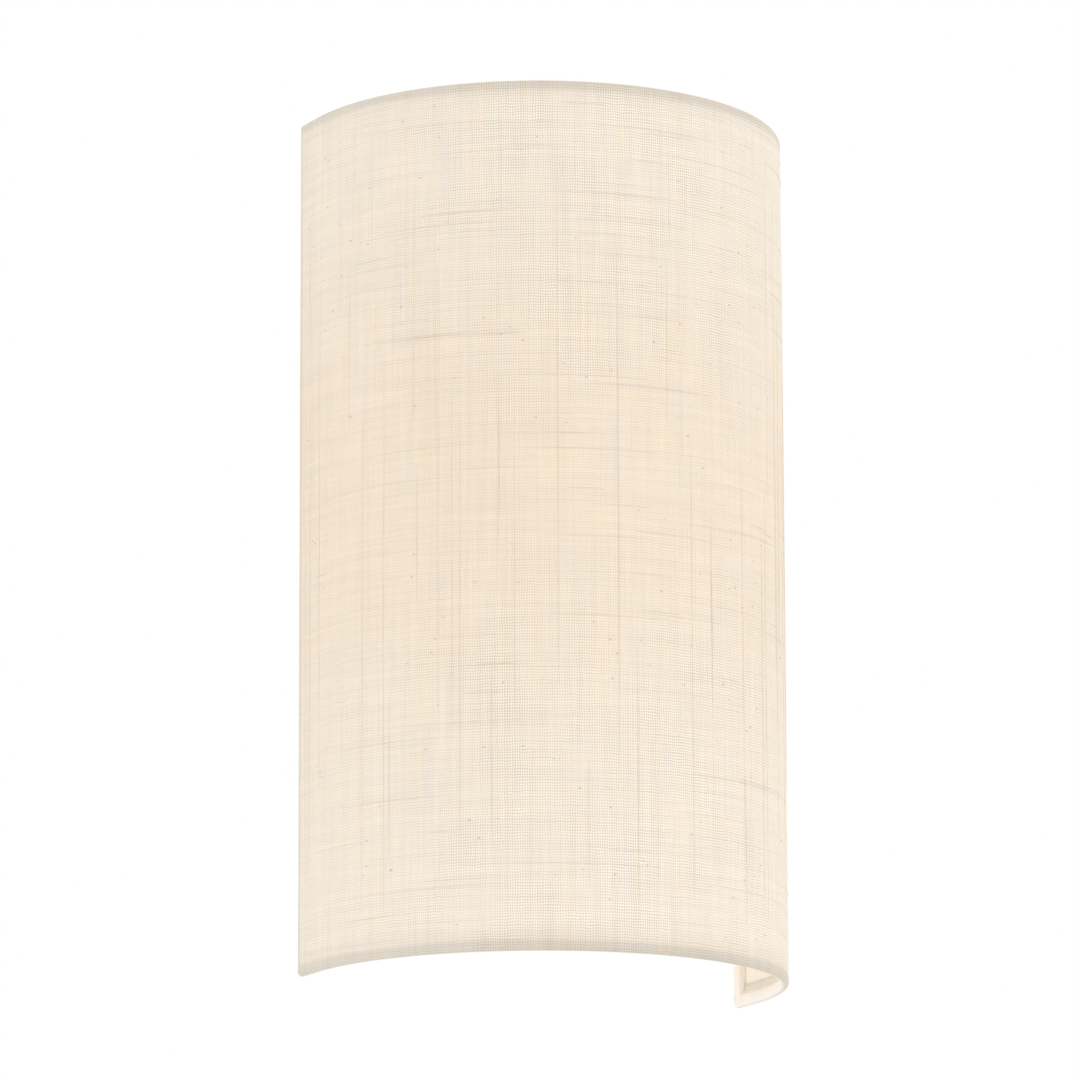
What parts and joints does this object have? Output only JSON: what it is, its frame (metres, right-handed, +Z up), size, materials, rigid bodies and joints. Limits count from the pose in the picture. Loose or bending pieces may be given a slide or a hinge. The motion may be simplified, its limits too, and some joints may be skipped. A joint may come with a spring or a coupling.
{
  "type": "wall light",
  "caption": "Half-round wall light: linen shade on a wire frame, held by thumb screws to a flat back plate with a lampholder and a small round lamp.",
  "frame": {"origin": "centre of the back plate's wall face, in the wall's plane", "axes": "+Z up, +Y into the wall (the light stands out along -Y), +X to the right of a person facing the light"},
  "size_m": [0.172, 0.0995, 0.3],
  "materials": {
    "linen": "plain-weave natural linen with slubs",
    "liner": "translucent white sheet",
    "white_wire": "white coated wire",
    "white_enamel": "fine-textured white powder coat",
    "nylon": "natural nylon",
    "nickel": "nickel plate, knurled",
    "zinc_steel": "bright zinc plate",
    "grommet_rubber": "matt",
    "block_plastic": "satin, translucent white",
    "brass": "plain, lightly tarnished",
    "tinned_copper": "tinned",
    "earth_insulation": "green with yellow stripe",
    "live_insulation": "brown",
    "neutral_insulation": "blue",
    "holder_plastic": "white thermoset",
    "porcelain": "glazed",
    "solder": "domed solder",
    "black_glass": "glass",
    "lamp_cap_metal": "rolled thread",
    "lamp_plastic": "satin white",
    "opal": "opal, lit warm white",
    "board": "white solder mask",
    "phosphor": "yellow phosphor"
  },
  "bodies": {
    "mount": {"back_plate": "white_enamel", "plate_standoffs": "zinc_steel", "cable_grommet": "grommet_rubber", "lamp_bracket": "white_enamel", "bracket_screws": "zinc_steel", "lead_bush": "nylon", "terminal_block": "block_plastic", "terminal_inserts": "brass", "terminal_screws": "zinc_steel", "block_screws": "zinc_steel", "earth_stud": "zinc_steel", "earth_washers": "zinc_steel", "earth_nut": "brass", "earth_terminal": "tinned_copper", "earth_lead": "earth_insulation", "live_lead": "live_insulation", "neutral_lead": "neutral_insulation", "nipple": "brass", "locknut": "brass", "holder_cap": "holder_plastic", "holder_insulator": "porcelain", "holder_body": "holder_plastic", "holder_shell": "brass", "holder_contact": "brass"},
    "shade": {"shade_fabric": "linen", "shade_liner": "liner", "top_ring": "white_wire", "bottom_ring": "white_wire", "left_upright": "white_wire", "right_upright": "white_wire", "upper_crossbar": "white_enamel", "lower_crossbar": "white_enamel", "retaining_washers": "nylon"},
    "upper_screw": {"upper_thumb_screw": "nickel"},
    "lower_screw": {"lower_thumb_screw": "nickel"},
    "lamp": {"lamp_tip": "solder", "lamp_glass": "black_glass", "lamp_cap": "lamp_cap_metal", "lamp_housing": "lamp_plastic", "lamp_globe": "opal", "led_board": "board", "led_chips": "phosphor"}
  },
  "joints": [
    {"name": "shade_pull", "type": "slide", "parent": "mount", "child": "shade", "axis": [0, -1, 0], "range_m": [0, 0.12]},
    {"name": "upper_screw_turn", "type": "hinge", "parent": "shade", "child": "upper_screw", "pos_m": [0, -0.012, 0.105], "axis": [0, 1, 0], "continuous": true},
    {"name": "lower_screw_turn", "type": "hinge", "parent": "shade", "child": "lower_screw", "pos_m": [0, -0.012, -0.105], "axis": [0, 1, 0], "continuous": true},
    {"name": "lamp_turn", "type": "hinge", "parent": "mount", "child": "lamp", "pos_m": [0, -0.048, -0.02], "axis": [0, 0, 1], "continuous": true}
  ]
}
